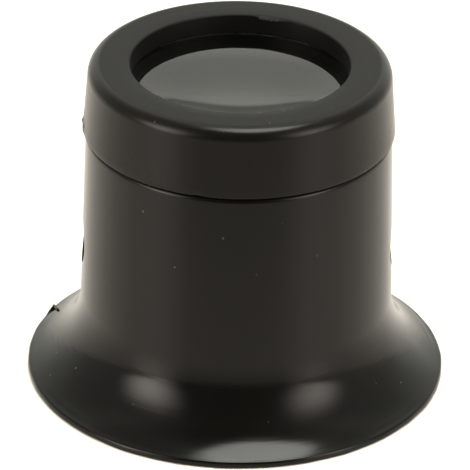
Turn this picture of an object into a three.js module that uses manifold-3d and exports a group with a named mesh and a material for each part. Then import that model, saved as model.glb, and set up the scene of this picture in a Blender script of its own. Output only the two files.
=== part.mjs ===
// An eye loupe of moulded black plastic: a flared eyecup whose neck carries a screw cap, and a glass lens that a
// spring ring keeps in the cap. +Z is up along the optical axis, and z = 0 is the flat rim that it stands on.
import * as THREE from "three";
import { mergeVertices } from "three/addons/utils/BufferGeometryUtils.js";
import Module from "manifold-3d";

// Driving dimensions, in millimetres and degrees.

// Lens: a plain double-convex magnifier of about 50 mm focal length
const LENS_RADIUS = 11.0;
const LENS_EDGE = 1.2; // thickness of its ground edge
const LENS_CURVATURE = 50.5; // radius of both faces
const LENS_CLEARANCE = 0.12; // above, below and beside it in the cap

// Spring ring under the lens
const RING_WIRE = 0.7; // wire diameter
const RING_BITE = 0.2; // how far the ring springs into its groove
const RING_CLEARANCE = 0.08; // between the wire and its groove
const RING_GAP_ANGLE = 24; // opening between its two ends

// Screw cap
const LIP_OVERLAP = 1.2; // how far the cap's lip covers the edge of the lens
const LIP_THICKNESS = 1.79;
const LIP_ROUND = 0.3; // at the edge of the opening
const CAP_WALL = 1.36; // around the thread, at the foot of the cap
const CAP_TAPER = 0.41; // how much narrower the cap is at its shoulder than at its foot
const CAP_SHOULDER_ROUND = 1.25; // outer edge of the cap's top
const CAP_EDGE_BREAK = 0.12; // foot of the cap
const SNAP_LIP = 0.3; // land below the ring's groove
const CAP_THREAD_LENGTH = 1.83; // foot of the cap to the shelf that meets the neck

// Thread between cap and neck, right-handed
const THREAD_PITCH = 1.0;
const THREAD_DEPTH = 0.5;
const THREAD_ROOT_WIDTH = 0.5;
const THREAD_CREST_WIDTH = 0.2;
const THREAD_CLEARANCE = 0.25; // crest to root, radially
const THREAD_RUNOUT = 0.1; // plain neck above and below the thread
const THREAD_LEAD_ANGLE = 28; // the thread fades in and out over this angle

// Eyecup
const BODY_HEIGHT = 23.93; // rim to shoulder
const SEAM_GAP = 0.3; // shoulder to the foot of the cap
const CAP_OVERHANG = 0.24; // the cap stands proud of the tube
const SHELF_CLEARANCE = 0.2; // top of the neck to the cap's shelf
const SHELF_WIDTH = 0.75; // how far the neck reaches past the lens pocket
const NECK_WALL = 1.5;
const NECK_CHAMFER = 0.15;
const SHOULDER_ROUND = 0.4;
const SHOULDER_WEB = 1.6; // thickness of the step between tube and neck
const TUBE_WALL = 1.2;
const TUBE_DRAFT_ANGLE = 1.5; // the tube widens downwards by this much each side
const FLARE_RADIUS = 8.0; // sweep from the tube out to the rim
const FLARE_REACH = 4.7; // how far the rim stands out past the tube
const RIM_EDGE = 0.6; // height of the rim's outer edge
const RIM_EDGE_BREAK = 0.06;
const VENT_RADIUS = 2.05;
const VENT_HEIGHT = 12.8; // above the rim
const VENT_COUNT = 2; // the first is at +X

// Smoothness of round shapes
const SEGMENTS = 48; // around the axis
const SWEEP_STEPS = 10; // along the flare
const LENS_STEPS = 6; // from the axis of the lens to its edge
const ROUND_STEPS = 5; // along a small rounded edge
const WIRE_SIDES = 8; // an even number
const VENT_SIDES = 24;
const BURIED = 0.2; // how far one shape reaches into another that it is joined to

const degrees = THREE.MathUtils.degToRad;
const sagitta = (radius) => LENS_CURVATURE - Math.sqrt(LENS_CURVATURE ** 2 - radius ** 2);

// Radii, from the lens outwards
const openingRadius = LENS_RADIUS - LIP_OVERLAP;
const pocketRadius = LENS_RADIUS + LENS_CLEARANCE;
const ringRadius = pocketRadius + RING_BITE - RING_WIRE / 2; // to the middle of the wire
const grooveRadius = pocketRadius + RING_BITE + RING_CLEARANCE;
const neckRadius = pocketRadius + SHELF_WIDTH;
const neckBore = neckRadius - NECK_WALL;
const capBore = neckRadius + THREAD_DEPTH + THREAD_CLEARANCE;
const capFootRadius = capBore + CAP_WALL;
const capShoulderRadius = capFootRadius - CAP_TAPER;
const tubeTopRadius = capFootRadius - CAP_OVERHANG;
const tubeDraft = Math.tan(degrees(TUBE_DRAFT_ANGLE));
const rimRadius = tubeTopRadius + BODY_HEIGHT * tubeDraft + FLARE_REACH;

// Heights, from the rim upwards
const capFootZ = BODY_HEIGHT + SEAM_GAP;
const shelfZ = capFootZ + CAP_THREAD_LENGTH;
const neckTopZ = shelfZ - SHELF_CLEARANCE;
const grooveZ = shelfZ + SNAP_LIP;
const ringZ = grooveZ + RING_CLEARANCE + RING_WIRE / 2;
const grooveTopZ = grooveZ + RING_WIRE + 2 * RING_CLEARANCE;
const lensEdgeZ = ringZ + RING_WIRE / 2 + LENS_CLEARANCE;
const lensEdgeTopZ = lensEdgeZ + LENS_EDGE;
const lensApexZ = lensEdgeTopZ + sagitta(LENS_RADIUS);
const ledgeZ = lensApexZ - sagitta(openingRadius) + LENS_CLEARANCE;
const capTopZ = ledgeZ + LIP_THICKNESS;

const wasm = await Module();
wasm.setup();

// A closed geometry as a solid that can be joined and cut.
function solidOf(geometry) {
  const bare = new THREE.BufferGeometry();
  bare.setAttribute("position", geometry.getAttribute("position"));
  bare.setIndex(geometry.getIndex());
  const merged = mergeVertices(bare, 1e-4);
  const index = merged.getIndex().array;
  const triangles = [];
  for (let i = 0; i < index.length; i += 3) {
    const [a, b, c] = index.slice(i, i + 3);
    if (a !== b && b !== c && c !== a) triangles.push(a, b, c);
  }
  return new wasm.Manifold(
    new wasm.Mesh({
      numProp: 3,
      vertProperties: merged.getAttribute("position").array,
      triVerts: new Uint32Array(triangles),
    }),
  );
}

// A solid as a geometry that a mesh can show.
function geometryOf(solid) {
  const { vertProperties, triVerts } = solid.getMesh();
  const geometry = new THREE.BufferGeometry();
  geometry.setAttribute("position", new THREE.BufferAttribute(vertProperties, 3));
  geometry.setIndex(new THREE.BufferAttribute(triVerts, 1));
  geometry.computeVertexNormals();
  return geometry;
}

const point = (radius, height) => new THREE.Vector2(radius, height);

// Points of an arc in the half plane of radius and height, from one angle to another in radians.
function arc(centre, radius, from, to, steps) {
  return Array.from({ length: steps + 1 }, (_, i) => {
    const angle = from + ((to - from) * i) / steps;
    return point(centre.x + radius * Math.cos(angle), centre.y + radius * Math.sin(angle));
  });
}

// A profile turned about the Z axis. Profiles run up the outside and down the inside.
function turned(profile) {
  return new THREE.LatheGeometry(profile, SEGMENTS).rotateX(Math.PI / 2);
}

// A thread that winds up from startZ on a wall. It stands out from wallRadius to tipRadius, on either side of the wall.
function threadRidge(wallRadius, tipRadius, startZ, turns) {
  const outward = Math.sign(tipRadius - wallRadius);
  const rootRadius = wallRadius - outward * BURIED;
  const steps = Math.round(turns * SEGMENTS);
  const leadSteps = (THREAD_LEAD_ANGLE / 360) * SEGMENTS;
  const positions = [];
  for (let i = 0; i <= steps; i++) {
    const angle = (2 * Math.PI * i) / SEGMENTS;
    const middle = startZ + (THREAD_PITCH * i) / SEGMENTS;
    const height = Math.min(1, i / leadSteps, (steps - i) / leadSteps);
    const tip = wallRadius + (tipRadius - wallRadius) * height;
    const root = { radius: rootRadius, half: THREAD_ROOT_WIDTH / 2 };
    const crest = { radius: tip, half: THREAD_CREST_WIDTH / 2 };
    const [inner, outer] = outward > 0 ? [root, crest] : [crest, root];
    const section = [
      [inner.radius, middle - inner.half],
      [outer.radius, middle - outer.half],
      [outer.radius, middle + outer.half],
      [inner.radius, middle + inner.half],
    ];
    for (const [radius, z] of section) positions.push(radius * Math.cos(angle), radius * Math.sin(angle), z);
  }
  const index = [0, 1, 2, 0, 2, 3];
  for (let i = 0; i < steps; i++) {
    for (let j = 0; j < 4; j++) {
      const a = 4 * i + j;
      const d = 4 * i + ((j + 1) % 4);
      index.push(a, a + 4, d + 4, a, d + 4, d);
    }
  }
  const last = 4 * steps;
  index.push(last, last + 2, last + 1, last, last + 3, last + 2);
  const geometry = new THREE.BufferGeometry();
  geometry.setAttribute("position", new THREE.Float32BufferAttribute(positions, 3));
  geometry.setIndex(index);
  return geometry;
}

// Both threads start at +X. The cap's lies midway between the turns of the neck's.
const threadMargin = THREAD_RUNOUT + THREAD_ROOT_WIDTH / 2;
const neckThreadZ = BODY_HEIGHT + threadMargin;
const neckTurns = (neckTopZ - threadMargin - neckThreadZ) / THREAD_PITCH;
const capThreadZ = neckThreadZ + THREAD_PITCH / 2;
const capTurns = (shelfZ - threadMargin - capThreadZ) / THREAD_PITCH;

// The flare's sweep is an arc that leaves the drafted tube smoothly and ends at the top of the rim's edge.
function flareCentre() {
  const reach = tubeTopRadius + BODY_HEIGHT * tubeDraft + FLARE_RADIUS / Math.cos(degrees(TUBE_DRAFT_ANGLE));
  const past = reach - rimRadius;
  const a = 1 + tubeDraft ** 2;
  const b = -2 * (tubeDraft * past + RIM_EDGE);
  const c = past ** 2 + RIM_EDGE ** 2 - FLARE_RADIUS ** 2;
  const height = (-b + Math.sqrt(b ** 2 - 4 * a * c)) / (2 * a);
  return point(reach - tubeDraft * height, height);
}

function eyecupProfile() {
  const centre = flareCentre();
  const tubeAngle = Math.PI + degrees(TUBE_DRAFT_ANGLE);
  const rimAngle = Math.atan2(RIM_EDGE - centre.y, rimRadius - centre.x) + 2 * Math.PI;
  const insideRadius = FLARE_RADIUS + TUBE_WALL;
  const footAngle = Math.PI + Math.asin(centre.y / insideRadius);
  const wallOffset = TUBE_WALL / Math.cos(degrees(TUBE_DRAFT_ANGLE));
  const webZ = BODY_HEIGHT - SHOULDER_WEB;
  const insideTop = tubeTopRadius + (BODY_HEIGHT - webZ) * tubeDraft - wallOffset;
  const shoulder = point(tubeTopRadius - SHOULDER_ROUND, BODY_HEIGHT - SHOULDER_ROUND);
  const outside = [
    point(rimRadius - RIM_EDGE_BREAK, 0),
    point(rimRadius, RIM_EDGE_BREAK),
    ...arc(centre, FLARE_RADIUS, rimAngle, tubeAngle, SWEEP_STEPS),
    ...arc(shoulder, SHOULDER_ROUND, 0, Math.PI / 2, ROUND_STEPS),
    point(neckRadius, BODY_HEIGHT),
    point(neckRadius, neckTopZ - NECK_CHAMFER),
    point(neckRadius - NECK_CHAMFER, neckTopZ),
  ];
  const inside = [
    point(neckBore + NECK_CHAMFER, neckTopZ),
    point(neckBore, neckTopZ - NECK_CHAMFER),
    point(neckBore, webZ),
    point(insideTop, webZ),
    ...arc(centre, insideRadius, tubeAngle, footAngle, SWEEP_STEPS),
  ];
  return [...outside, ...inside, outside[0]];
}

// Eyecup: the flared tube with its threaded neck and the vents through its sides
function eyecupGeometry() {
  let solid = solidOf(turned(eyecupProfile()));
  const ridge = threadRidge(neckRadius, neckRadius + THREAD_DEPTH, neckThreadZ, neckTurns);
  solid = solid.add(solidOf(ridge));
  for (let i = 0; i < VENT_COUNT; i++) {
    const drill = new THREE.CylinderGeometry(VENT_RADIUS, VENT_RADIUS, rimRadius, VENT_SIDES);
    drill.rotateZ(Math.PI / 2).translate(rimRadius / 2, 0, VENT_HEIGHT);
    drill.rotateZ((2 * Math.PI * i) / VENT_COUNT);
    solid = solid.subtract(solidOf(drill));
  }
  return geometryOf(solid);
}

function capProfile() {
  const shoulder = point(capShoulderRadius - CAP_SHOULDER_ROUND, capTopZ - CAP_SHOULDER_ROUND);
  const lip = point(openingRadius + LIP_ROUND, capTopZ - LIP_ROUND);
  const outside = [
    point(capFootRadius - CAP_EDGE_BREAK, capFootZ),
    point(capFootRadius, capFootZ + CAP_EDGE_BREAK),
    ...arc(shoulder, CAP_SHOULDER_ROUND, 0, Math.PI / 2, 2 * ROUND_STEPS),
  ];
  const inside = [
    ...arc(lip, LIP_ROUND, Math.PI / 2, Math.PI, ROUND_STEPS),
    point(openingRadius, ledgeZ),
    point(pocketRadius, ledgeZ),
    point(pocketRadius, grooveTopZ),
    point(grooveRadius, grooveTopZ),
    point(grooveRadius, grooveZ),
    point(pocketRadius, grooveZ),
    point(pocketRadius, shelfZ),
    point(capBore, shelfZ),
    point(capBore, capFootZ + CAP_EDGE_BREAK),
    point(capBore + CAP_EDGE_BREAK, capFootZ),
  ];
  return [...outside, ...inside, outside[0]];
}

// Cap: the screw ring with the viewing opening, the lens pocket and the groove for the spring ring
function capGeometry() {
  const ridge = threadRidge(capBore, capBore - THREAD_DEPTH, capThreadZ, capTurns);
  return geometryOf(solidOf(turned(capProfile())).add(solidOf(ridge)));
}

// Lens: two shallow domes on a ground edge
function lensGeometry() {
  const face = Array.from({ length: LENS_STEPS + 1 }, (_, i) => (LENS_RADIUS * i) / LENS_STEPS);
  const lower = face.map((r) => point(r, lensEdgeZ - sagitta(LENS_RADIUS) + sagitta(r)));
  const upper = face.map((r) => point(r, lensApexZ - sagitta(r)));
  return turned([...lower, ...upper.reverse()]);
}

// The open circle that the ring's wire follows, with its gap at -Y.
class RingLine extends THREE.Curve {
  getPoint(t, target = new THREE.Vector3()) {
    const gap = degrees(RING_GAP_ANGLE);
    const angle = -Math.PI / 2 + gap / 2 + t * (2 * Math.PI - gap);
    return target.set(ringRadius * Math.cos(angle), ringRadius * Math.sin(angle), ringZ);
  }
}

// Spring ring: a split circle of round wire
function ringGeometry() {
  const wire = new THREE.Shape().absarc(0, 0, RING_WIRE / 2, 0, 2 * Math.PI);
  const options = { curveSegments: WIRE_SIDES / 2, steps: SEGMENTS, extrudePath: new RingLine() };
  return geometryOf(solidOf(new THREE.ExtrudeGeometry(wire, options)));
}

const blackPlastic = new THREE.MeshStandardMaterial({ color: 0x1b1a18, roughness: 0.32, metalness: 0 });
const blackSatin = new THREE.MeshStandardMaterial({ color: 0x1d1c1a, roughness: 0.42, metalness: 0 });
const clearGlass = new THREE.MeshStandardMaterial({
  color: 0xe4ebe8,
  roughness: 0.02,
  metalness: 0,
  transparent: true,
  opacity: 0.35,
});
const springSteel = new THREE.MeshStandardMaterial({ color: 0x8f8f8c, roughness: 0.3, metalness: 1 });

function named(name, geometry, material) {
  const mesh = new THREE.Mesh(geometry, material);
  mesh.name = name;
  return mesh;
}

const lensCell = new THREE.Group(); // what comes away when the cap is unscrewed
lensCell.add(named("lens_cap", capGeometry(), blackSatin));
lensCell.add(named("lens", lensGeometry(), clearGlass));
lensCell.add(named("lens_spring_ring", ringGeometry(), springSteel));

const loupe = new THREE.Group();
loupe.add(named("eyecup_body", eyecupGeometry(), blackPlastic));
loupe.add(lensCell);

export default loupe;
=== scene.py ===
"""A jeweller's eye loupe: flared eyecup, screw cap, glass lens and the spring ring that keeps it in."""

import math

import bmesh
import bpy
from bpy.props import FloatProperty, FloatVectorProperty, PointerProperty
from bpy.types import Operator, Panel, PropertyGroup
from mathutils import Matrix, Quaternion, Vector, noise


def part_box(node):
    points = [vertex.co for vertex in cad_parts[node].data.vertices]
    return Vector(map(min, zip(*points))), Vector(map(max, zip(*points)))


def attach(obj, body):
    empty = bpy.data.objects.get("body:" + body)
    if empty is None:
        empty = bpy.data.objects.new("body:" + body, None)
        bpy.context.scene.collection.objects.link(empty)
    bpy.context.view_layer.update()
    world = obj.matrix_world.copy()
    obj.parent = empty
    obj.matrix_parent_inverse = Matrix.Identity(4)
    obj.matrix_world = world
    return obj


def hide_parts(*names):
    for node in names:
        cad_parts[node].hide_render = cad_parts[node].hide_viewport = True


bl_info = {
    "name": "Eye Loupe",
    "version": (1, 0, 0),
    "blender": (4, 5, 0),
    "location": "3D View > Sidebar > Loupe",
    "description": "Builds a jeweller's eye loupe of moulded black plastic with a glass lens",
    "category": "Add Mesh",
}

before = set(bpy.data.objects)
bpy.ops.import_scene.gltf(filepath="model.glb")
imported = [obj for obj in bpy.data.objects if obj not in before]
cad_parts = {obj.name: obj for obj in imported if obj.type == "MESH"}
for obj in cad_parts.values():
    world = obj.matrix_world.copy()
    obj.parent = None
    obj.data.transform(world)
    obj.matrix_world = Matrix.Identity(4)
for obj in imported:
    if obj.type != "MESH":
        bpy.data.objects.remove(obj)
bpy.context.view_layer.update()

MM = 0.001
TURN = 2 * math.pi
WELD = 1e-7  # points closer than this are one point
BURIED = 0.2 * MM  # how far one shape reaches into another that it is joined to
SMOOTH_ANGLE = math.radians(40)
SHARP_ANGLE = math.radians(30)  # edges sharper than this are rounded
AROUND = 192  # steps in a full turn

# What the frame says of each piece
EYECUP_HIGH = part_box("eyecup_body")[1]
CAP_LOW, CAP_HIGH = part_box("lens_cap")
LENS_LOW, LENS_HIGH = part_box("lens")
RING_LOW, RING_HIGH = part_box("lens_spring_ring")


def number(name, description, value, low=0.0, **kind):
    """A property that holds a number."""
    return FloatProperty(name=name, description=description, default=value, min=low, **kind)


def length(name, description, metres):
    """A property that holds a length."""
    return number(name, description, metres, precision=6, unit="LENGTH", subtype="DISTANCE")


def angle(name, description, degrees):
    """A property that holds an angle."""
    return number(name, description, math.radians(degrees), low=-TURN, unit="ROTATION", subtype="ANGLE")


def share(name, description, value):
    """A property that holds a number from 0 to 1."""
    return number(name, description, value, max=1.0, subtype="FACTOR")


def colour(name, description, *rgb):
    """A property that holds a colour."""
    return FloatVectorProperty(
        name=name,
        description=description,
        default=rgb,
        min=0.0,
        max=1.0,
        size=3,
        subtype="COLOR",
    )


class LoupeThread(PropertyGroup):
    """The right-hand thread between the neck and the cap"""

    pitch: length("Pitch", "Rise of the thread in one turn", 1.0 * MM)
    depth: length("Depth", "How far the ridge stands off its wall", 0.5 * MM)
    root: length("Root width", "Width of the ridge where it leaves its wall", 0.5 * MM)
    crest: length("Crest width", "Width of the ridge at its top", 0.2 * MM)
    runout: length("Run-out", "Plain wall above and below the thread", 0.1 * MM)
    lead: angle("Lead", "Angle over which the ridge fades in and out", 28)


class LoupeEyecup(PropertyGroup):
    """The flared tube that is held in the eye socket"""

    rim_radius: length("Rim radius", "Outer radius of the rim", EYECUP_HIGH.x)
    rim_edge: length("Rim edge", "Height of the rim's outer edge", 0.56 * MM)
    rim_break: length("Rim edge break", "Rounding of the rim's lower edges", 0.18 * MM)
    rim_round: length("Rim round", "Rounding of the rim's upper edge", 0.32 * MM)
    height: length("Body height", "Rim to shoulder", CAP_LOW.z - 0.15 * MM)
    flare_radius: length("Flare radius", "Sweep from the tube out to the rim", 8.0 * MM)
    flare_reach: length("Flare reach", "How far the rim stands out past the tube", 4.7 * MM)
    draft: angle("Draft", "How much the tube widens downwards", 1.5)
    wall: length("Wall", "Thickness of the tube", 1.2 * MM)
    shoulder_round: length("Shoulder round", "Rounding of the tube's top edge", 0.45 * MM)
    web: length("Web", "Thickness of the step between tube and neck", 1.6 * MM)
    neck_radius: length("Neck radius", "Wall that carries the thread", 11.87 * MM)
    neck_wall: length("Neck wall", "Thickness of the neck", 1.5 * MM)
    neck_break: length("Neck edge break", "Rounding of the neck's top edges", 0.15 * MM)
    corner: length("Corner", "Rounding of the inside corners", 0.3 * MM)
    vent_radius: length("Vent radius", "Radius of the two vents", 2.13 * MM)
    vent_left: angle("Left vent", "Bearing of the vent at the left", 182.5)
    vent_right: angle("Right vent", "Bearing of the vent at the right", -0.3)
    vent_height: length("Vent height", "Middle of the vents above the rim", 12.85 * MM)
    vent_ease: length("Vent edge", "Rounding of the vents' edges", 0.04 * MM)
    plastic: colour("Plastic", "Colour of the moulded plastic", 0.0027, 0.0025, 0.0020)
    specular: share("Specular", "Strength of the reflections", 0.182)
    roughness: share("Roughness", "Mean roughness of the moulded surface", 0.185)
    foot: share("Flare roughness", "Mean roughness of the glossier flare", 0.14)
    inside: share("Inside roughness", "Mean roughness of the matt inside", 0.55)
    satin: share("Shoulder roughness", "Mean roughness of the shoulder under the cap", 0.4)


class LoupeCap(PropertyGroup):
    """The screw cap that holds the lens"""

    foot_radius: length("Foot radius", "Outer radius at the foot", CAP_HIGH.x)
    taper: length("Taper", "How much narrower the cap is at its shoulder", 0.41 * MM)
    shoulder_round: length("Shoulder round", "Rounding of the outer edge of the top", 1.25 * MM)
    edge_break: length("Edge break", "Rounding of the foot's edges", 0.1 * MM)
    opening: length("Opening", "Radius of the viewing opening", 9.8 * MM)
    lip_round: length("Lip round", "Rounding of the opening's edge", 0.13 * MM)
    dip: length("Dip", "How much lower the top is at the opening", 0.08 * MM)
    dip_width: length("Dip width", "How far from the opening the top starts to dip", 0.75 * MM)
    dip_round: length("Dip round", "Rounding where the top starts to dip", 0.5 * MM)
    seat_room: length("Seat room", "Room between the lens and its seat under the lip", 0.02 * MM)
    pocket: length("Pocket", "Radius of the pocket that holds the lens", 11.12 * MM)
    groove: length("Groove", "Radius of the spring ring's groove", 11.4 * MM)
    groove_room: length("Groove room", "Room above and below the wire", 0.08 * MM)
    bore: length("Bore", "Wall that carries the thread", 12.62 * MM)
    shelf: length("Shelf", "Foot of the cap to the shelf that meets the neck", 1.83 * MM)
    plastic: colour("Plastic", "Colour of the moulded plastic", 0.0032, 0.0029, 0.0023)
    specular: share("Specular", "Strength of the reflections", 0.178)
    roughness: share("Side roughness", "Mean roughness of the side", 0.26)
    inside: share("Inside roughness", "Mean roughness of the matt inside", 0.5)
    satin: share("Top roughness", "Mean roughness of the satin top", 0.26)
    satin_specular: share("Top specular", "Strength of the satin top's reflections", 0.113)


class LoupeLens(PropertyGroup):
    """The double-convex glass lens"""

    radius: length("Radius", "Radius of the ground edge", LENS_HIGH.x)
    curvature: length("Curvature", "Radius of both faces", 50.5 * MM)
    bevel: length("Bevel", "Safety bevel at the edge", 0.15 * MM)
    tint: colour("Tint", "Colour of the glass", 0.93, 0.965, 0.95)
    index: number("Index", "Refractive index of the glass", 1.52)


class LoupeRing(PropertyGroup):
    """The split spring ring under the lens"""

    outer: length("Outer radius", "Outside of the ring in its groove", RING_HIGH.x)
    wire: length("Wire", "Diameter of the wire", RING_HIGH.z - RING_LOW.z)
    gap: angle("Gap", "Opening between the two ends", 24)
    steel: colour("Steel", "Colour of the drawn wire", 0.45, 0.45, 0.44)


class LoupeStage(PropertyGroup):
    """Floor, lights and camera"""

    floor: colour("Floor", "Colour of the floor", 0.885, 0.82, 0.775)
    backdrop: colour("Backdrop", "Colour of the room's light", 1.0, 1.0, 0.91)
    room: number("Room", "Brightness of the room", 1.0)
    top_colour: colour("Top colour", "Colour of the overhead softbox", 0.98, 1.0, 0.92)
    side_colour: colour("Side colour", "Colour of the two side softboxes", 1.0, 0.92, 0.84)
    top_light: number("Top light", "Brightness of the overhead softbox", 13.0)
    left_light: number("Left light", "Brightness of the left softbox", 9.2)
    right_light: number("Right light", "Brightness of the right softbox", 6.9)
    lens: number("Lens", "Focal length of the camera in millimetres", 325.53)


class Section:
    """A closed outline in the half plane of radius and height, drawn from corner to corner"""

    def __init__(self, radius, height, rounding=0.0):
        self.mesh = bmesh.new()
        self.rounded = []
        self.split = []
        self.last = self.mesh.verts.new((radius, 0.0, height))
        self.first = self.last.co.copy()
        self.round_last(rounding)

    def round_last(self, rounding):
        if rounding > 0:
            self.rounded.append((self.last.co.copy(), rounding))

    def point(self, place):
        """The outline's point nearest to a place."""
        return min(self.mesh.verts, key=lambda vert: (vert.co - place).length)

    def line(self, radius, height, rounding=0.0, cuts=0):
        """A straight stretch to a corner, which is rounded when the outline is closed."""
        start = self.last.co.copy()
        self.last = bmesh.ops.extrude_vert_indiv(self.mesh, verts=[self.last])["verts"][0]
        self.last.co = (radius, 0.0, height)
        if cuts:
            self.split.append((start, self.last.co.copy(), cuts))
        self.round_last(rounding)

    def arc(self, centre, sweep, steps, rounding=0.0):
        """A round stretch about a centre. A positive sweep turns from outwards to upwards."""
        made = bmesh.ops.spin(
            self.mesh,
            geom=[self.last],
            cent=(centre[0], 0.0, centre[1]),
            axis=(0, -1, 0),
            angle=sweep,
            steps=steps,
        )
        self.last = made["geom_last"][0]
        self.round_last(rounding)

    def close(self, segments=5):
        """Joins the last corner to the first, splits the long stretches and rounds the corners."""
        self.mesh.edges.new((self.last, self.point(self.first)))
        for start, end, cuts in self.split:
            edge = self.mesh.edges.get((self.point(start), self.point(end)))
            bmesh.ops.subdivide_edges(self.mesh, edges=[edge], cuts=cuts)
        for place, rounding in self.rounded:
            bmesh.ops.bevel(
                self.mesh,
                geom=[self.point(place)],
                offset=rounding,
                offset_type="OFFSET",
                segments=segments,
                profile=0.5,
                affect="VERTICES",
                material=-1,
            )
        return self.mesh


def turned(section):
    """The outline turned about the Z axis into a closed solid."""
    bmesh.ops.spin(
        section,
        geom=section.verts[:] + section.edges[:],
        cent=(0, 0, 0),
        axis=(0, 0, 1),
        angle=TURN,
        steps=AROUND,
        use_merge=True,
    )
    return closed(section)


def closed(mesh):
    """Merges doubles, drops edges that bound no face and turns all faces outwards."""
    bmesh.ops.remove_doubles(mesh, verts=mesh.verts[:], dist=WELD)
    bare = [edge for edge in mesh.edges if not edge.link_faces]
    bmesh.ops.delete(mesh, geom=bare, context="EDGES")
    bmesh.ops.recalc_face_normals(mesh, faces=mesh.faces[:])
    return mesh


def eased(mesh, edges, rounding):
    """Rounds edges."""
    bmesh.ops.bevel(
        mesh,
        geom=edges,
        offset=rounding,
        offset_type="OFFSET",
        segments=3,
        profile=0.5,
        affect="EDGES",
        material=-1,
    )
    closed(mesh)


def linked(name, mesh):
    """A new object at the origin that holds the mesh."""
    data = bpy.data.meshes.new(name)
    mesh.to_mesh(data)
    mesh.free()
    made = bpy.data.objects.new(name, data)
    bpy.context.scene.collection.objects.link(made)
    return made


def combined(base, tool, operation):
    """One solid cut by another, or joined to it."""
    shapes = [linked("base", base), linked("tool", tool)]
    modifier = shapes[0].modifiers.new("combine", "BOOLEAN")
    modifier.operation = operation
    modifier.solver = "EXACT"
    modifier.object = shapes[1]
    result = bmesh.new()
    result.from_object(shapes[0], bpy.context.evaluated_depsgraph_get())
    for shape in shapes:
        bpy.data.meshes.remove(shape.data)
    return closed(result)


def placed(name, mesh, materials, body, node):
    """The finished piece: smooth, with its materials, riding on its body in place of the CAD node."""
    piece = linked(name, mesh)
    piece.data.shade_smooth()
    piece.data.set_sharp_from_angle(angle=SMOOTH_ANGLE)
    for material in materials:
        piece.data.materials.append(material)
    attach(piece, body)
    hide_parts(node)


def bearing_of(vert):
    """The angle of a point round the axis, from +X towards +Y."""
    return math.atan2(vert.co.y, vert.co.x) % TURN


def polar(radius, degrees, height):
    """A place on a circle round the axis."""
    bearing = math.radians(degrees)
    return Vector((radius * math.cos(bearing), radius * math.sin(bearing), height))


def thread_ridge(thread, wall, outward, start, turns):
    """A helical ridge that winds up from start on a wall, and fades in and out of it."""
    root = wall - outward * BURIED
    crest = wall + outward * thread.depth
    mesh = bmesh.new()
    corners = (
        (root, start - thread.root / 2),
        (crest, start - thread.crest / 2),
        (crest, start + thread.crest / 2),
        (root, start + thread.root / 2),
    )
    section = mesh.faces.new([mesh.verts.new((radius, 0.0, height)) for radius, height in corners])
    count = round(turns * AROUND)
    whole = TURN * count / AROUND
    bmesh.ops.spin(
        mesh,
        geom=[section],
        cent=(0, 0, 0),
        axis=(0, 0, 1),
        dvec=(0, 0, thread.pitch / AROUND),
        angle=whole,
        steps=count,
    )
    for vert in mesh.verts:
        radius = vert.co.xy.length
        if outward * (radius - wall) > 0:
            bearing = bearing_of(vert)
            climbed = TURN * (vert.co.z - start) / thread.pitch
            along = bearing + TURN * round((climbed - bearing) / TURN)
            height = max(0.0, min(1.0, along / thread.lead, (whole - along) / thread.lead))
            faded = wall + outward * (thread.depth * height - BURIED / 4 * (1 - height))
            vert.co.xy *= faded / radius
    return closed(mesh)


def ragged(mesh, place, reach, push, grain):
    """Roughens an edge near a place: splits the edges there and pushes their points by noise."""

    def closeness(vert):
        return 1 - (vert.co - place).length / reach

    near = [edge for edge in mesh.edges if all(closeness(vert) > 0 for vert in edge.verts)]
    bmesh.ops.subdivide_edges(mesh, edges=near, cuts=3, use_grid_fill=True)
    for vert in mesh.verts:
        fade = closeness(vert)
        if fade > 0:
            level = 0.5 + noise.noise(vert.co / grain)
            vert.co += push * (max(0.0, level) * min(1.0, 2 * fade))


# Materials

LEVEL = (1.0, 1.0, 0.0)  # keeps a vector's level part
NOISE_LOW, NOISE_HIGH = 0.2, 0.8  # nearly all of a noise lies between these
PLASTIC_INDEX = 1.5
FLOW_SCALE, FLOW_STRETCH = 140.0, (1.0, 1.0, 0.45)
FLOW_DARK, FLOW_PALE = 0.75, 1.3  # shares of the plastic's colour
FLOW_LOW, FLOW_HIGH = 0.25, 0.75
GLOSS_LOW, GLOSS_HIGH = 0.85, 1.15  # shares of the mean roughness
# Walls that face the axis get a darker tone than the plastic: painted shade in the hollows.
INSIDE_SHADE = 0.8  # share of the plastic's colour
INSIDE_LEAN, OUTSIDE_LEAN = -0.3, -0.1  # how far outwards a wall leans, inside and outside
SATIN_FADE, SATIN_FULL = 0.17 * MM, 0.02 * MM  # depths at which a satin top begins, and is full
SATIN_REACH = 0.22 * MM  # the cap's satin top ends this far out on its shoulder
FOOT_FULL, FOOT_FADE = 3 * MM, 8 * MM  # heights between which the foot's own gloss fades out
RUB_SCALE, RUB_STRETCH = 900.0, (1.0, 0.16, 1.0)
RUB_LOW, RUB_HIGH, RUB_ROUGH = 0.62, 0.75, 0.05
GRAIN_SCALE, GRAIN_DEPTH = 7000.0, 0.0005 * MM
LATHE_PITCH, LATHE_DEPTH = 0.35 * MM, 0.007 * MM
LATHE_WAVER = 0.6 * MM  # of noise along each radian
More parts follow.
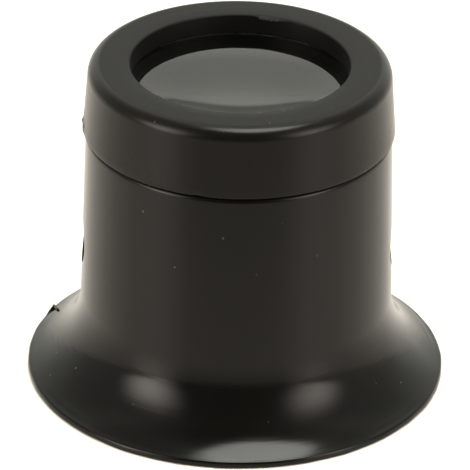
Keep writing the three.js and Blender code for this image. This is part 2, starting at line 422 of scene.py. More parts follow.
# Dust and fibres: how far apart they are, their size, and the share of them that is there
DUST = (2.1 * MM, 0.14 * MM, 0.5)
FIBRES = (2.4 * MM, 0.08 * MM, 0.35)
LENS_DUST = (3.5 * MM, 0.06 * MM, 0.12)
DUST_FAINT = 0.15  # strength of the faintest speck
DUST_COLOUR, DUST_COVER, DUST_ROUGH = (0.30, 0.29, 0.27), 0.26, 0.3
LENS_DUST_COLOUR, LENS_DUST_ROUGH = (0.6, 0.6, 0.58), 0.4
FIBRE_TURN, FIBRE_STRETCH = (0.5, 0.7, 0.3), (1.0, 0.3, 1.0)
SMEAR_SCALE, SMEAR_STRETCH = 260.0, (1.0, 0.4, 1.0)
SMEAR_LOW, SMEAR_HIGH, SMEAR_ROUGH = 0.5, 0.8, 0.03
GRIT_SCALE, GRIT_DEPTH, GRIT_RELIEF = 5000.0, 0.01 * MM, 0.4
GRIT_DARK, GRIT_PALE = 0.03, 0.07  # shares of the glass's colour
GRIT_SMOOTH, GRIT_ROUGH = 0.6, 0.8
WIRE_SCALE, WIRE_STRETCH = 1500.0, (1.0, 1.0, 9.0)
WIRE_DEPTH, WIRE_RELIEF = 0.01 * MM, 0.15
WIRE_DARK, WIRE_PALE = 0.8, 1.15  # shares of the steel's colour
WIRE_SMOOTH, WIRE_ROUGH = 0.2, 0.38


def add(tree, kind, inputs=None, **settings):
    """A new node, with its settings and with its inputs set or linked."""
    made = tree.nodes.new(kind)
    for name, value in settings.items():
        setattr(made, name, value)
    for name, value in (inputs or {}).items():
        if isinstance(value, bpy.types.NodeSocket):
            tree.links.new(value, made.inputs[name])
        else:
            made.inputs[name].default_value = value
    return made


def new_material(name):
    """An empty node material, its tree, its shader and the Object coordinates."""
    material = bpy.data.materials.new(name)
    material.use_nodes = True
    tree = material.node_tree
    shader = tree.nodes["Principled BSDF"]
    where = add(tree, "ShaderNodeTexCoord").outputs["Object"]
    return material, tree, shader, where


def noise_value(tree, where, scale, detail=2.0, stretch=None):
    """Smooth noise from 0 to 1 over the piece, with that many cells to the metre."""
    if stretch:
        where = add(tree, "ShaderNodeMapping", {"Vector": where, "Scale": stretch}).outputs["Vector"]
    made = add(tree, "ShaderNodeTexNoise", {"Vector": where, "Scale": scale, "Detail": detail})
    return made.outputs["Fac"]


def ranged(tree, value, low, high, to_low, to_high, smooth=False):
    """A value moved from one range to another, and held inside it."""
    made = add(
        tree,
        "ShaderNodeMapRange",
        {"Value": value, "From Min": low, "From Max": high, "To Min": to_low, "To Max": to_high},
        interpolation_type="SMOOTHSTEP" if smooth else "LINEAR",
    )
    return made.outputs["Result"]


def sum_of(tree, first, second, operation="ADD"):
    """Two values added, or combined by another operation."""
    return add(tree, "ShaderNodeMath", {0: first, 1: second}, operation=operation).outputs["Value"]


def times(tree, first, second):
    """Two values multiplied."""
    return sum_of(tree, first, second, "MULTIPLY")


def vector_of(tree, operation, first, second=(0.0, 0.0, 0.0)):
    """A vector changed by an operation, alone or with a second one."""
    made = add(tree, "ShaderNodeVectorMath", {0: first, 1: second}, operation=operation)
    return made.outputs["Value" if operation in ("LENGTH", "DOT_PRODUCT") else "Vector"]


def parts_of(tree, vector):
    """The X, Y and Z of a vector."""
    return add(tree, "ShaderNodeSeparateXYZ", {"Vector": vector}).outputs


def mixed(tree, share_of_second, first, second):
    """Two colours mixed."""
    inputs = {0: share_of_second, 6: first, 7: second}
    return add(tree, "ShaderNodeMix", inputs, data_type="RGBA").outputs[2]


def opaque(rgb, factor=1.0):
    """A colour, darker or paler by a factor, with full alpha."""
    return (*(factor * channel for channel in rgb), 1.0)


def dressed(tree, shader, tone, gloss, relief, strength=1.0, depth=1.0):
    """Links a material's colour, roughness and relief to its shader."""
    bump = add(tree, "ShaderNodeBump", {"Height": relief, "Strength": strength, "Distance": depth})
    tree.links.new(tone, shader.inputs["Base Color"])
    tree.links.new(gloss, shader.inputs["Roughness"])
    tree.links.new(bump.outputs["Normal"], shader.inputs["Normal"])


def lathe_marks(tree, where):
    """Fine rings round the axis, as a turned mould leaves them, that waver and fade."""
    parts = parts_of(tree, where)
    radius = vector_of(tree, "LENGTH", vector_of(tree, "MULTIPLY", where, LEVEL))
    bearing = sum_of(tree, parts["X"], times(tree, parts["Y"], -1.0), "ARCTAN2")
    along = times(tree, bearing, LATHE_WAVER)
    rolled = add(tree, "ShaderNodeCombineXYZ", {"X": radius, "Y": parts["Z"], "Z": along})
    return noise_value(tree, rolled.outputs["Vector"], 1 / LATHE_PITCH)


def specks(tree, where, spacing, size, kept):
    """Dust: a few small round specks, one in some of the cells of a grid, some of them fainter."""
    cells = add(tree, "ShaderNodeTexVoronoi", {"Vector": where, "Scale": 1 / spacing})
    near = ranged(tree, cells.outputs["Distance"], 0.5 * size / spacing, size / spacing, 1.0, 0.0)
    chance = add(tree, "ShaderNodeSeparateColor", {"Color": cells.outputs["Color"]}).outputs
    chosen = times(tree, near, sum_of(tree, chance["Red"], kept, "LESS_THAN"))
    return times(tree, chosen, ranged(tree, chance["Green"], 0.0, 1.0, DUST_FAINT, 1.0))


def inward(tree, where):
    """1 on walls that face the axis and 0 on the outside."""
    normal = add(tree, "ShaderNodeTexCoord").outputs["Normal"]
    away = vector_of(tree, "NORMALIZE", vector_of(tree, "MULTIPLY", where, LEVEL))
    leaning = vector_of(tree, "DOT_PRODUCT", away, normal)
    return ranged(tree, leaning, INSIDE_LEAN, OUTSIDE_LEAN, 1.0, 0.0)


def black_plastic(name, piece, specular, foot, satin_height):
    """Moulded black plastic: faint flow marks, fine grain, dust and small rubs.
    It is matt inside, and its inside walls are painted darker as painted shade; it is satin above a
    height, and has its own gloss at the foot."""
    material, tree, shader, where = new_material(name)
    flow = noise_value(tree, where, FLOW_SCALE, 3.0, FLOW_STRETCH)
    inside_shade_and_matt = inward(tree, where)
    askew = {"Vector": where, "Rotation": FIBRE_TURN, "Scale": FIBRE_STRETCH}
    lying = add(tree, "ShaderNodeMapping", askew).outputs["Vector"]
    dust = sum_of(tree, specks(tree, where, *DUST), specks(tree, lying, *FIBRES), "MAXIMUM")
    tone = mixed(tree, flow, opaque(piece.plastic, FLOW_DARK), opaque(piece.plastic, FLOW_PALE))
    # Painted shade: walls that face the axis are coloured darker.
    tone = mixed(tree, inside_shade_and_matt, tone, opaque(piece.plastic, INSIDE_SHADE))
    tone = mixed(tree, times(tree, dust, DUST_COVER), tone, opaque(DUST_COLOUR))
    roughness = piece.roughness
    height = parts_of(tree, where)["Z"]
    top = ranged(tree, height, satin_height - SATIN_FADE, satin_height - SATIN_FULL, 0.0, 1.0, True)
    gloss = ranged(tree, flow, FLOW_LOW, FLOW_HIGH, GLOSS_LOW * roughness, GLOSS_HIGH * roughness)
    gloss = sum_of(tree, gloss, times(tree, top, piece.satin - roughness))
    gloss = sum_of(tree, gloss, times(tree, inside_shade_and_matt, piece.inside - roughness))
    gloss = sum_of(tree, gloss, ranged(tree, height, FOOT_FULL, FOOT_FADE, foot - roughness, 0.0, True))
    rubs = noise_value(tree, where, RUB_SCALE, 4.0, RUB_STRETCH)
    gloss = sum_of(tree, gloss, ranged(tree, rubs, RUB_LOW, RUB_HIGH, 0.0, RUB_ROUGH))
    gloss = sum_of(tree, gloss, times(tree, dust, DUST_ROUGH))
    grain = times(tree, noise_value(tree, where, GRAIN_SCALE), GRAIN_DEPTH)
    lathe = times(tree, lathe_marks(tree, where), LATHE_DEPTH)
    dressed(tree, shader, tone, gloss, sum_of(tree, grain, lathe))
    shader.inputs["IOR"].default_value = PLASTIC_INDEX
    shader.inputs["Specular IOR Level"].default_value = specular
    return material


def lens_glass(lens):
    """Clear polished glass with a trace of dust. Its inner faces are coated: they mirror nothing."""
    material, tree, shader, where = new_material("lens_glass")
    dust = specks(tree, where, *LENS_DUST)
    tone = mixed(tree, dust, opaque(lens.tint), opaque(LENS_DUST_COLOUR))
    tree.links.new(tone, shader.inputs["Base Color"])
    smear = noise_value(tree, where, SMEAR_SCALE, 3.0, SMEAR_STRETCH)
    gloss = ranged(tree, smear, SMEAR_LOW, SMEAR_HIGH, 0.0, SMEAR_ROUGH)
    gloss = sum_of(tree, gloss, times(tree, dust, LENS_DUST_ROUGH))
    tree.links.new(gloss, shader.inputs["Roughness"])
    shader.inputs["Transmission Weight"].default_value = 1.0
    shader.inputs["IOR"].default_value = lens.index
    clear = {"Color": opaque(lens.tint), "Roughness": 0.0, "IOR": lens.index}
    coated = add(tree, "ShaderNodeBsdfRefraction", clear)
    inner = add(tree, "ShaderNodeNewGeometry").outputs["Backfacing"]
    glass = add(tree, "ShaderNodeMixShader", {0: inner, 1: shader.outputs[0], 2: coated.outputs[0]})
    tree.links.new(glass.outputs[0], tree.nodes["Material Output"].inputs["Surface"])
    return material


def ground_glass(lens):
    """The lens's ground edge: matt and dull grey."""
    material, tree, shader, where = new_material("ground_edge")
    grit = noise_value(tree, where, GRIT_SCALE)
    tone = mixed(tree, grit, opaque(lens.tint, GRIT_DARK), opaque(lens.tint, GRIT_PALE))
    gloss = ranged(tree, grit, NOISE_LOW, NOISE_HIGH, GRIT_SMOOTH, GRIT_ROUGH)
    dressed(tree, shader, tone, gloss, grit, GRIT_RELIEF, GRIT_DEPTH)
    return material


def drawn_steel(ring):
    """Drawn spring steel with fine lines along the wire."""
    material, tree, shader, where = new_material("spring_steel")
    lines = noise_value(tree, where, WIRE_SCALE, 3.0, WIRE_STRETCH)
    tone = mixed(tree, lines, opaque(ring.steel, WIRE_DARK), opaque(ring.steel, WIRE_PALE))
    gloss = ranged(tree, lines, NOISE_LOW, NOISE_HIGH, WIRE_SMOOTH, WIRE_ROUGH)
    dressed(tree, shader, tone, gloss, lines, WIRE_RELIEF, WIRE_DEPTH)
    shader.inputs["Metallic"].default_value = 1.0
    return material


# Pieces

RIPPLE, RIPPLE_LENGTH = 0.02 * MM, 2.8 * MM  # unevenness of the flare
RIM_WAVE, RIM_WAVE_LENGTH = 0.05 * MM, 2.2 * MM
# A curl of flash on the rim, point by point: its bearing in degrees, its distance inside the rim,
# its height above the rim's edge and its thickness
CURL = (
    (160.0, 0.20 * MM, 0.00 * MM, 0.05 * MM),
    (156.8, 0.14 * MM, 0.08 * MM, 0.10 * MM),
    (154.2, 0.14 * MM, 0.20 * MM, 0.13 * MM),
    (157.8, 1.10 * MM, 0.62 * MM, 0.13 * MM),
)
CURL_OVERLAP = 0.93  # each stretch starts this much thinner, inside the end of the one before
VENT_NEAR = 0.02 * MM  # an edge this near to the drill's wall was left by it
# Flash on the lip, in degrees: where it begins and ends, its fade at each, and how far it hangs down
FLASH_FROM, FLASH_TO = 62.0, 81.0
FLASH_FADE_FROM, FLASH_FADE_TO = 9.0, 1.0
FLASH_DROP = 30.0
FLASH_SIZE = 0.42 * MM
FLASH_LEVEL, FLASH_TEETH, FLASH_FINE = 0.75, 0.5, 2.6  # its mean, and how jagged it is
FLASH_ROOT, FLASH_FOOT = 0.4, 0.9  # shares of the lip's rounding where it is full, and ends
# A burr where the cap's gate was cut off, and a nick in the cap's foot
GATE_BEARING, GATE_HEIGHT = 185.5, 0.45 * MM
GATE_REACH, GATE_PUSH, GATE_GRAIN = 1.1 * MM, 0.16 * MM, 0.6 * MM
NICK_BEARING = 255.9
NICK_REACH, NICK_PUSH, NICK_GRAIN = 0.6 * MM, 0.1 * MM, 0.3 * MM
RING_END_ROUND = 1 / 8  # share of the wire's diameter


def flare_centre(cup):
    """Centre of the arc that leaves the drafted tube smoothly and ends at the top of the rim's edge."""
    slope = math.tan(cup.draft)
    tube_foot = cup.rim_radius - cup.flare_reach
    reach = tube_foot + cup.flare_radius / math.cos(cup.draft)
    past = reach - cup.rim_radius
    a = 1 + slope**2
    b = -2 * (slope * past + cup.rim_edge)
    c = past**2 + cup.rim_edge**2 - cup.flare_radius**2
    height = (-b + math.sqrt(b**2 - 4 * a * c)) / (2 * a)
    return reach - slope * height, height


def eyecup_section(cup):
    """Up the outside from the rim to the neck, and down the inside."""
    centre = flare_centre(cup)
    slope = math.tan(cup.draft)
    tube_top = cup.rim_radius - cup.flare_reach - slope * cup.height
    rim_angle = math.atan2(cup.rim_edge - centre[1], cup.rim_radius - centre[0])
    tube_angle = cup.draft - math.pi
    inside = cup.flare_radius + cup.wall
    foot_angle = math.asin(centre[1] / inside) - math.pi
    web = cup.height - cup.web
    inside_top = tube_top + slope * cup.web - cup.wall / math.cos(cup.draft)
    neck_top = EYECUP_HIGH.z
    neck_bore = cup.neck_radius - cup.neck_wall
    flare_top = Vector(centre) + inside * Vector((math.cos(tube_angle), math.sin(tube_angle)))
    section = Section(cup.rim_radius, 0.0, cup.rim_break)
    section.line(cup.rim_radius, cup.rim_edge, cup.rim_round)
    section.arc(centre, tube_angle - rim_angle, 48)
    section.line(tube_top, cup.height, cup.shoulder_round, cuts=27)
    section.line(cup.neck_radius, cup.height, cup.neck_break)
    section.line(cup.neck_radius, neck_top, cup.neck_break, cuts=7)
    section.line(neck_bore, neck_top, cup.neck_break)
    section.line(neck_bore, web, cup.neck_break, cuts=7)
    section.line(inside_top, web, cup.corner)
    section.line(*flare_top, cuts=24)
    section.arc(centre, foot_angle - tube_angle, 32, cup.rim_break)
    return section.close()


class LOUPE_OT_eyecup(Operator):
    """Builds the flared eyecup with its threaded neck and its two vents"""

    bl_idname = "loupe.eyecup"
    bl_label = "Eyecup"

    def execute(self, context):
        cup = context.scene.loupe_eyecup
        thread = context.scene.loupe_thread
        mesh = turned(eyecup_section(cup))
        margin = thread.runout + thread.root / 2
        start = cup.height + margin
        turns = (EYECUP_HIGH.z - margin - start) / thread.pitch
        mesh = combined(mesh, thread_ridge(thread, cup.neck_radius, 1, start, turns), "UNION")
        for bearing in (cup.vent_left, cup.vent_right):
            mesh = combined(mesh, self.drill(cup, bearing), "DIFFERENCE")
            self.ease_vent(mesh, cup, bearing)
        mesh = self.wear_rim(mesh, cup)
        plastic = black_plastic("eyecup_plastic", cup, cup.specular, cup.foot, cup.height)
        placed("eyecup_moulding", mesh, [plastic], "eyecup", "eyecup_body")
        return {"FINISHED"}

    def drill(self, cup, bearing):
        """A rod that reaches out from the axis and cuts one vent."""
        mesh = bmesh.new()
        out = Matrix.Translation((cup.rim_radius / 2, 0, cup.vent_height))
        level = Matrix.Rotation(TURN / 4, 4, "Y")
        bmesh.ops.create_cone(
            mesh,
            cap_ends=True,
            segments=72,
            radius1=cup.vent_radius,
            radius2=cup.vent_radius,
            depth=cup.rim_radius,
            matrix=Matrix.Rotation(bearing, 4, "Z") @ out @ level,
        )
        return mesh

    def ease_vent(self, mesh, cup, bearing):
        """Rounds the edges that the drill left on the outside and the inside of the tube."""
        sharp = []
        rod = polar(1.0, math.degrees(bearing), 0.0)
        start = Vector((0.0, 0.0, cup.vent_height))
        for edge in mesh.edges:
            middle = (edge.verts[0].co + edge.verts[1].co) / 2
            from_axis = (middle - start).cross(rod).length
            ahead = (middle - start).dot(rod) > 0
            if ahead and abs(from_axis - cup.vent_radius) < VENT_NEAR and edge.is_manifold:
                if edge.calc_face_angle() > SHARP_ANGLE:
                    sharp.append(edge)
        eased(mesh, sharp, cup.vent_ease)

    def wear_rim(self, mesh, cup):
        """The flare and the rim run a little unevenly, and a curl of flash is left on the rim."""
        for vert in mesh.verts:
            if cup.rim_break < vert.co.z < cup.flare_radius:
                fade = 1 - vert.co.z / cup.flare_radius
                vert.co += vert.normal * RIPPLE * fade * noise.noise(vert.co / RIPPLE_LENGTH)
            radius = vert.co.xy.length
            if radius > cup.rim_radius - 2 * cup.rim_round and vert.co.z < 2 * cup.rim_edge:
                vert.co.xy *= 1 - RIM_WAVE / radius * (0.5 + noise.noise(vert.co / RIM_WAVE_LENGTH))
        for start, end in zip(CURL, CURL[1:]):
            mesh = combined(mesh, self.curl_piece(cup, start, end), "UNION")
        return mesh

    def curl_piece(self, cup, start, end):
        """One stretch of the curl of flash, round and tapered."""
        mesh = bmesh.new()
        for (degrees, inside, above, thickness), fullness in ((start, CURL_OVERLAP), (end, 1.0)):
            place = Matrix.Translation(polar(cup.rim_radius - inside, degrees, cup.rim_edge + above))
            bmesh.ops.create_icosphere(mesh, subdivisions=2, radius=fullness * thickness, matrix=place)
        bmesh.ops.delete(mesh, geom=mesh.edges[:] + mesh.faces[:], context="EDGES_FACES")
        hull = bmesh.ops.convex_hull(mesh, input=mesh.verts[:])
        bmesh.ops.delete(mesh, geom=hull["geom_interior"], context="VERTS")
        return closed(mesh)


def lens_height(lens, radius):
    """Height of the lens's upper face at a distance from the axis."""
    return LENS_HIGH.z - lens.curvature + math.sqrt(lens.curvature**2 - radius**2)


class LOUPE_OT_screw_cap(Operator):
    """Builds the screw cap with its lens pocket, ring groove and thread"""

    bl_idname = "loupe.screw_cap"
    bl_label = "Screw cap"

    def execute(self, context):
        cap = context.scene.loupe_cap
        thread = context.scene.loupe_thread
        cup = context.scene.loupe_eyecup
        mesh = turned(self.section(cap, context.scene.loupe_lens))
        margin = thread.runout + thread.root / 2
        start = cup.height + margin + thread.pitch / 2
        turns = (CAP_LOW.z + cap.shelf - margin - start) / thread.pitch
        mesh = combined(mesh, thread_ridge(thread, cap.bore, -1, start, turns), "UNION")
        self.leave_flash(mesh, cap)
        gate = polar(cap.foot_radius, GATE_BEARING, CAP_LOW.z + GATE_HEIGHT)
        ragged(mesh, gate, GATE_REACH, polar(GATE_PUSH, GATE_BEARING, 0.0), GATE_GRAIN)
        nick = polar(cap.foot_radius, NICK_BEARING, CAP_LOW.z)
        ragged(mesh, nick, NICK_REACH, polar(-NICK_PUSH, NICK_BEARING, NICK_PUSH), NICK_GRAIN)
        closed(mesh)
        satin_edge = cap.foot_radius - cap.taper - cap.shoulder_round + SATIN_REACH
        for face in mesh.faces:
            middle = face.calc_center_median()
            if middle.z > CAP_HIGH.z - cap.dip - cap.lip_round / 4 and middle.xy.length < satin_edge:
                face.material_index = 1
        finish = [
            black_plastic("cap_plastic", cap, cap.specular, cap.roughness, CAP_HIGH.z),
            black_plastic("cap_top_plastic", cap, cap.satin_specular, cap.roughness, CAP_HIGH.z),
        ]
        placed("screw_cap_moulding", mesh, finish, "screw_cap", "lens_cap")
        return {"FINISHED"}

    def leave_flash(self, mesh, cap):
        """Thin ragged flash on a stretch of the opening's edge."""
        stretch = []
        for edge in mesh.edges:
            if all(self.on_lip(vert, cap) for vert in edge.verts):
                if abs(edge.verts[0].co.z - edge.verts[1].co.z) < WELD:
                    stretch.append(edge)
        bmesh.ops.subdivide_edges(mesh, edges=stretch, cuts=7, use_grid_fill=True)
        drop = math.radians(FLASH_DROP)
        for vert in mesh.verts:
            if not self.on_lip(vert, cap):
                continue
            bearing = math.degrees(bearing_of(vert))
            begun = (bearing - FLASH_FROM) / FLASH_FADE_FROM
            left = (FLASH_TO - bearing) / FLASH_FADE_TO
            fade = max(0.0, min(1.0, begun, left))
            down = max(0.0, CAP_HIGH.z - cap.dip - vert.co.z) / (FLASH_ROOT * cap.lip_round)
            coarse = noise.noise((bearing, 0.0, 0.0))
            fine = noise.noise((FLASH_FINE * bearing, 5.0, 0.0))
            tooth = max(0.0, FLASH_LEVEL + FLASH_TEETH * (coarse + fine))
            reach = FLASH_SIZE * fade * tooth * min(1.0, down)
            vert.co += polar(-reach * math.cos(drop), bearing, -reach * math.sin(drop))

    def on_lip(self, vert, cap):
        """True on the flash's stretch of the opening's rounded edge, above where it meets the wall."""
        if not FLASH_FROM < math.degrees(bearing_of(vert)) < FLASH_TO:
            return False
        on_edge = vert.co.xy.length < cap.opening + cap.lip_round + WELD
        return on_edge and vert.co.z > CAP_HIGH.z - cap.dip - FLASH_FOOT * cap.lip_round

    def section(self, cap, lens):
        """Up the outside from the foot, over the top, and down past the lens's seat to the thread."""
        foot, top = CAP_LOW.z, CAP_HIGH.z
        side_top = cap.foot_radius - cap.taper
        shelf = foot + cap.shelf
        groove_low = RING_LOW.z - cap.groove_room
        groove_high = RING_HIGH.z + cap.groove_room
        section = Section(cap.foot_radius, foot, cap.edge_break)
        section.line(side_top, top - cap.shoulder_round, cuts=7)
        section.arc((side_top - cap.shoulder_round, top - cap.shoulder_round), TURN / 4, 24)
        section.line(cap.opening + cap.dip_width, top, cap.dip_round, cuts=3)
        section.line(cap.opening, top - cap.dip, cap.lip_round)
        section.line(cap.opening, lens_height(lens, cap.opening) + cap.seat_room)
        section.line(cap.pocket, lens_height(lens, cap.pocket) + cap.seat_room)
        section.line(cap.pocket, groove_high)
        section.line(cap.groove, groove_high)
        section.line(cap.groove, groove_low)
        section.line(cap.pocket, groove_low)
        section.line(cap.pocket, shelf, cap.edge_break)
        section.line(cap.bore, shelf, cap.edge_break)
        section.line(cap.bore, foot, cap.edge_break, cuts=7)
        return section.close()


class LOUPE_OT_lens(Operator):
    """Builds the double-convex lens with its ground edge"""

    bl_idname = "loupe.lens"
    bl_label = "Lens"

    def execute(self, context):
        lens = context.scene.loupe_lens
        half = math.asin(lens.radius / lens.curvature)
        sag = lens.curvature * (1 - math.cos(half))
        section = Section(0.0, LENS_LOW.z)
        section.arc((0.0, LENS_LOW.z + lens.curvature), half, 24, lens.bevel)
        section.line(lens.radius, LENS_HIGH.z - sag, lens.bevel)
        section.arc((0.0, LENS_HIGH.z - lens.curvature), half, 24)
        mesh = turned(section.close(segments=2))
        for face in mesh.faces:
            if face.calc_center_median().xy.length > lens.radius - lens.bevel:
                face.material_index = 1
        finish = [lens_glass(lens), ground_glass(lens)]
        placed("magnifier_lens", mesh, finish, "lens_in_cap", "lens")
        return {"FINISHED"}


class LOUPE_OT_spring_ring(Operator):
    """Builds the split spring ring of round wire"""

    bl_idname = "loupe.spring_ring"
    bl_label = "Spring ring"

    def execute(self, context):
        ring = context.scene.loupe_ring
        middle = ring.outer - ring.wire / 2
        height = (RING_LOW.z + RING_HIGH.z) / 2
        mesh = bmesh.new()
        upright = Matrix.Translation((middle, 0, height)) @ Matrix.Rotation(TURN / 4, 4, "X")
        bmesh.ops.create_circle(mesh, cap_ends=True, segments=20, radius=ring.wire / 2, matrix=upright)
        first_end = Matrix.Rotation(ring.gap / 2 - TURN / 4, 3, "Z")
        bmesh.ops.rotate(mesh, verts=mesh.verts[:], cent=(0, 0, 0), matrix=first_end)
        sweep = TURN - ring.gap
        bmesh.ops.spin(mesh, geom=mesh.faces[:], cent=(0, 0, 0), axis=(0, 0, 1), angle=sweep, steps=160)
        closed(mesh)
        rims = [edge for edge in mesh.edges if edge.calc_face_angle(0.0) > SHARP_ANGLE]
        eased(mesh, rims, RING_END_ROUND * ring.wire)
        finish = [drawn_steel(ring)]
        placed("spring_ring_wire", mesh, finish, "screw_cap", "lens_spring_ring")
        return {"FINISHED"}


# Stage

CAMERA_PLACE = Vector((0.0, -338.2756, 197.3939)) * MM
CAMERA_PITCH = math.radians(28.57711)  # downwards
CAMERA_YAW = math.radians(-0.033487)
CAMERA_ROLL = math.radians(1.014961)
SENSOR_WIDTH = 36.0  # in millimetres, as the lens is
CLIP_NEAR, CLIP_FAR = 0.01, 20.0
FLOOR_RADIUS, FLOOR_DROP = 2.5, 0.01 * MM
# Painted shade: the floor's colour darkens towards the front, between these two distances in front of the
# loupe.
FLOOR_NEAR, FLOOR_FAR = -20 * MM, -60 * MM  # the floor dims towards the front between these
FLOOR_SHADE = 0.68
PAPER_SCALE, PAPER_DARK = 400.0, 0.985
PAPER_SMOOTH, PAPER_ROUGH = 0.27, 0.33
# The lights. A glow is the hot spot's height, the share that is evenly bright, and how the rest fades
LIGHT_DISTANCE = 0.6
TOP_PLACE = Vector((0.12, -0.10, 1.0)) * LIGHT_DISTANCE
TOP_SIZE, TOP_GLOW = (0.375, 0.36), (0.62, 0.7, 1)
LEFT_PLACE, RIGHT_PLACE = (-53.5, 29), (51, 31)  # bearing and elevation
SIDE_AIM = Vector((0.0, 0.0, 5 * MM))
SIDE_SIZE, SIDE_GLOW = (0.70, 0.60), (0.2, 0.05, 2)
SIDE_ROLL = math.radians(14)  # the side lights lean outwards
BACKDROP_SEEN = 1.05  # brightness behind the floor
# Brightness of the room: round it from the front (0) to straight behind (1),
# and upwards by the sine of the elevation
ROOM_ROUND = (
    (0.0, 0.12), (0.07, 0.2), (0.25, 0.5), (0.5, 0.68), (0.63, 0.65),
    (0.75, 0.75), (0.855, 1.07), (0.933, 1.45), (0.983, 1.35), (0.996, 1.05),
)
ROOM_RIGHT = 0.14  # how much brighter the right is
ROOM_UPWARDS = ((0.1, 1.0), (0.6, 1.0), (0.77, 1.4), (0.87, 0.85))
STRIP_UPWARDS = ((0.26, 0.92), (0.36, 0.88), (0.43, 1.01), (0.5, 1.2), (0.567, 1.56), (0.639, 2.34))
STRIP_TOP = (
    (0.639, 1.0), (0.648, 0.82), (0.658, 0.41), (0.675, 0.46),
    (0.705, 0.63), (0.74, 0.63), (0.87, 0.69),
)
STRIP_EDGE, STRIP_MIDDLE = 0.88, 0.95  # cosines of the bearing from straight behind
STRIP_ARCH, STRIP_ARCH_END = 0.0736, 0.984  # how far its top edge comes down, and where
RAMP_TOP = 2.5


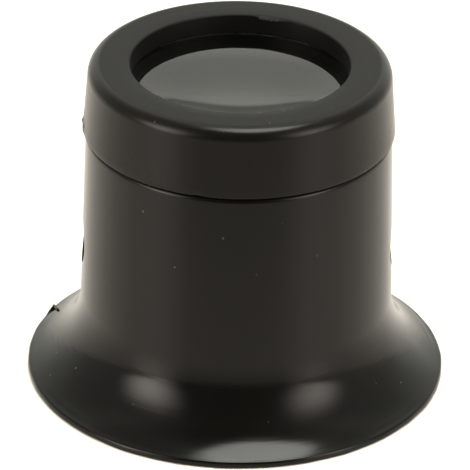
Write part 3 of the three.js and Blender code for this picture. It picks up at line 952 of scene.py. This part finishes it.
class LOUPE_OT_stage(Operator):
    """Sets up the pale floor, the soft lights and the camera"""

    bl_idname = "loupe.stage"
    bl_label = "Stage"

    def execute(self, context):
        stage = context.scene.loupe_stage
        self.make_floor(stage)
        self.make_room(context.scene, stage)
        below = Vector((TOP_PLACE.x, TOP_PLACE.y, 0.0))
        power = (stage.top_light, stage.top_colour)
        self.softbox("overhead_softbox", power, TOP_PLACE, below, TOP_SIZE, TOP_GLOW)
        sides = (
            ("left_softbox", stage.left_light, LEFT_PLACE, -SIDE_ROLL),
            ("right_softbox", stage.right_light, RIGHT_PLACE, SIDE_ROLL),
        )
        for name, brightness, bearings, roll in sides:
            power = (brightness, stage.side_colour)
            place = self.direction(*bearings) * LIGHT_DISTANCE
            self.softbox(name, power, place, SIDE_AIM, SIDE_SIZE, SIDE_GLOW, roll)
        self.make_camera(context.scene, stage)
        return {"FINISHED"}

    def direction(self, bearing, elevation):
        """A direction from the loupe: degrees to the right of the camera, and degrees up."""
        bearing = math.radians(bearing)
        elevation = math.radians(elevation)
        level = math.cos(elevation)
        return Vector((level * math.sin(bearing), -level * math.cos(bearing), math.sin(elevation)))

    def make_floor(self, stage):
        mesh = bmesh.new()
        lowered = Matrix.Translation((0, 0, -FLOOR_DROP))
        bmesh.ops.create_circle(mesh, cap_ends=True, segments=128, radius=FLOOR_RADIUS, matrix=lowered)
        floor = linked("floor", mesh)
        material, tree, shader, where = new_material("pale_floor")
        paper = noise_value(tree, where, PAPER_SCALE, 3.0)
        tone = mixed(tree, paper, opaque(stage.floor, PAPER_DARK), opaque(stage.floor))
        # Painted shade: the floor is coloured darker towards the front.
        front = ranged(tree, parts_of(tree, where)["Y"], FLOOR_FAR, FLOOR_NEAR, 1.0, 0.0)
        tone = mixed(tree, front, tone, opaque(stage.floor, FLOOR_SHADE))
        tree.links.new(tone, shader.inputs["Base Color"])
        gloss = ranged(tree, paper, NOISE_LOW, NOISE_HIGH, PAPER_SMOOTH, PAPER_ROUGH)
        tree.links.new(gloss, shader.inputs["Roughness"])
        floor.data.materials.append(material)

    def make_room(self, scene, stage):
        """A room dark in front and pale behind, with a strip of light brightest at its top edge."""
        world = bpy.data.worlds.new("studio")
        world.use_nodes = True
        tree = world.node_tree
        facing = add(tree, "ShaderNodeTexCoord").outputs["Generated"]
        height = parts_of(tree, facing)["Z"]
        level = vector_of(tree, "NORMALIZE", vector_of(tree, "MULTIPLY", facing, LEVEL))
        around = parts_of(tree, level)
        behind = around["Y"]
        walls = self.ramp(tree, ranged(tree, behind, -1.0, 1.0, 0.0, 1.0), ROOM_ROUND)
        walls = times(tree, walls, ranged(tree, around["X"], 0.0, 1.0, 1.0, 1.0 + ROOM_RIGHT))
        rise = self.ramp(tree, height, ROOM_UPWARDS)
        strip = self.ramp(tree, height, STRIP_UPWARDS)
        arched = sum_of(tree, height, ranged(tree, behind, 1.0, STRIP_ARCH_END, 0.0, STRIP_ARCH))
        strip = times(tree, strip, self.ramp(tree, arched, STRIP_TOP))
        middle = ranged(tree, behind, STRIP_EDGE, STRIP_MIDDLE, 0.0, 1.0, True)
        upwards = add(tree, "ShaderNodeMix", {0: middle, 2: rise, 3: strip}, data_type="FLOAT").outputs[0]
        glow = times(tree, times(tree, walls, upwards), stage.room)
        seen = add(tree, "ShaderNodeLightPath").outputs["Is Camera Ray"]
        choice = {0: seen, 2: glow, 3: BACKDROP_SEEN}
        shown = add(tree, "ShaderNodeMix", choice, data_type="FLOAT").outputs[0]
        tree.links.new(shown, tree.nodes["Background"].inputs["Strength"])
        tree.nodes["Background"].inputs["Color"].default_value = opaque(stage.backdrop)
        scene.world = world
        scene.view_settings.view_transform = "Standard"

    def ramp(self, tree, value, steps):
        """A brightness that runs from step to step along a value from 0 to 1."""
        made = add(tree, "ShaderNodeValToRGB", {"Fac": value})
        for place, bright in steps:
            step = made.color_ramp.elements.new(place)
            step.color = opaque([bright / RAMP_TOP] * 3)
        made.color_ramp.elements[0].color = made.color_ramp.elements[1].color
        made.color_ramp.elements[-1].color = made.color_ramp.elements[-2].color
        return times(tree, made.outputs["Color"], RAMP_TOP)

    def softbox(self, name, power, place, aim, size, glow, roll=0.0):
        """A lamp behind cloth, brightest at its hot spot, from which it fades to its edges."""
        brightness, tone = power
        hot, core, fall = glow
        light = bpy.data.lights.new(name, "AREA")
        light.shape = "RECTANGLE"
        light.size, light.size_y = size
        light.color = tone
        light.energy = math.pi * light.size * light.size_y * brightness
        light.use_nodes = True
        tree = light.node_tree
        spot = add(tree, "ShaderNodeNewGeometry").outputs["Parametric"]
        apart = vector_of(tree, "SUBTRACT", spot, (0.5, hot, 0.0))
        apart = vector_of(tree, "MULTIPLY", apart, (2.0, 1 / max(hot, 1 - hot), 0.0))
        far = vector_of(tree, "LENGTH", apart)
        fade = sum_of(tree, ranged(tree, far, core, 1.0, 1.0, 0.0, True), fall, "POWER")
        tree.links.new(fade, tree.nodes["Emission"].inputs["Strength"])
        made = bpy.data.objects.new(name, light)
        made.location = place
        made.rotation_mode = "QUATERNION"
        made.rotation_quaternion = (aim - place).to_track_quat("-Z", "Y") @ Quaternion((0, 0, 1), roll)
        made.visible_camera = False
        bpy.context.scene.collection.objects.link(made)

    def make_camera(self, scene, stage):
        camera = bpy.data.objects.new("camera", bpy.data.cameras.new("camera"))
        camera.data.sensor_width = SENSOR_WIDTH
        camera.data.lens = stage.lens
        camera.data.clip_start = CLIP_NEAR
        camera.data.clip_end = CLIP_FAR
        level = math.cos(CAMERA_PITCH)
        drop = -math.sin(CAMERA_PITCH)
        ahead = Vector((math.sin(CAMERA_YAW) * level, math.cos(CAMERA_YAW) * level, drop))
        side = Vector((math.cos(CAMERA_YAW), -math.sin(CAMERA_YAW), 0.0))
        above = side.cross(ahead)
        right = math.cos(CAMERA_ROLL) * side + math.sin(CAMERA_ROLL) * above
        up = math.cos(CAMERA_ROLL) * above - math.sin(CAMERA_ROLL) * side
        turn = Matrix((right, up, -ahead)).transposed()
        camera.matrix_world = Matrix.Translation(CAMERA_PLACE) @ turn.to_4x4()
        scene.collection.objects.link(camera)
        scene.camera = camera


class LOUPE_PT_sidebar(Panel):
    """Lists the loupe's pieces and their sizes"""

    bl_label = "Eye loupe"
    bl_idname = "LOUPE_PT_sidebar"
    bl_space_type = "VIEW_3D"
    bl_region_type = "UI"
    bl_category = "Loupe"

    def draw(self, context):
        for operator, group in STEPS.items():
            column = self.layout.column()
            column.operator(operator.bl_idname)
            settings = getattr(context.scene, group)
            for name in settings.__annotations__:
                column.prop(settings, name)


GROUPS = {
    "loupe_thread": LoupeThread,
    "loupe_eyecup": LoupeEyecup,
    "loupe_cap": LoupeCap,
    "loupe_lens": LoupeLens,
    "loupe_ring": LoupeRing,
    "loupe_stage": LoupeStage,
}
STEPS = {
    LOUPE_OT_eyecup: "loupe_eyecup",
    LOUPE_OT_screw_cap: "loupe_cap",
    LOUPE_OT_lens: "loupe_lens",
    LOUPE_OT_spring_ring: "loupe_ring",
    LOUPE_OT_stage: "loupe_stage",
}
CLASSES = (*GROUPS.values(), *STEPS, LOUPE_PT_sidebar)


def register():
    for made in CLASSES:
        bpy.utils.register_class(made)
    for name, group in GROUPS.items():
        setattr(bpy.types.Scene, name, PointerProperty(type=group))


def unregister():
    for name in GROUPS:
        delattr(bpy.types.Scene, name)
    for made in reversed(CLASSES):
        bpy.utils.unregister_class(made)


def main():
    register()
    bpy.ops.loupe.eyecup()
    bpy.ops.loupe.screw_cap()
    bpy.ops.loupe.lens()
    bpy.ops.loupe.spring_ring()
    bpy.ops.loupe.stage()


if __name__ == "__main__":
    main()
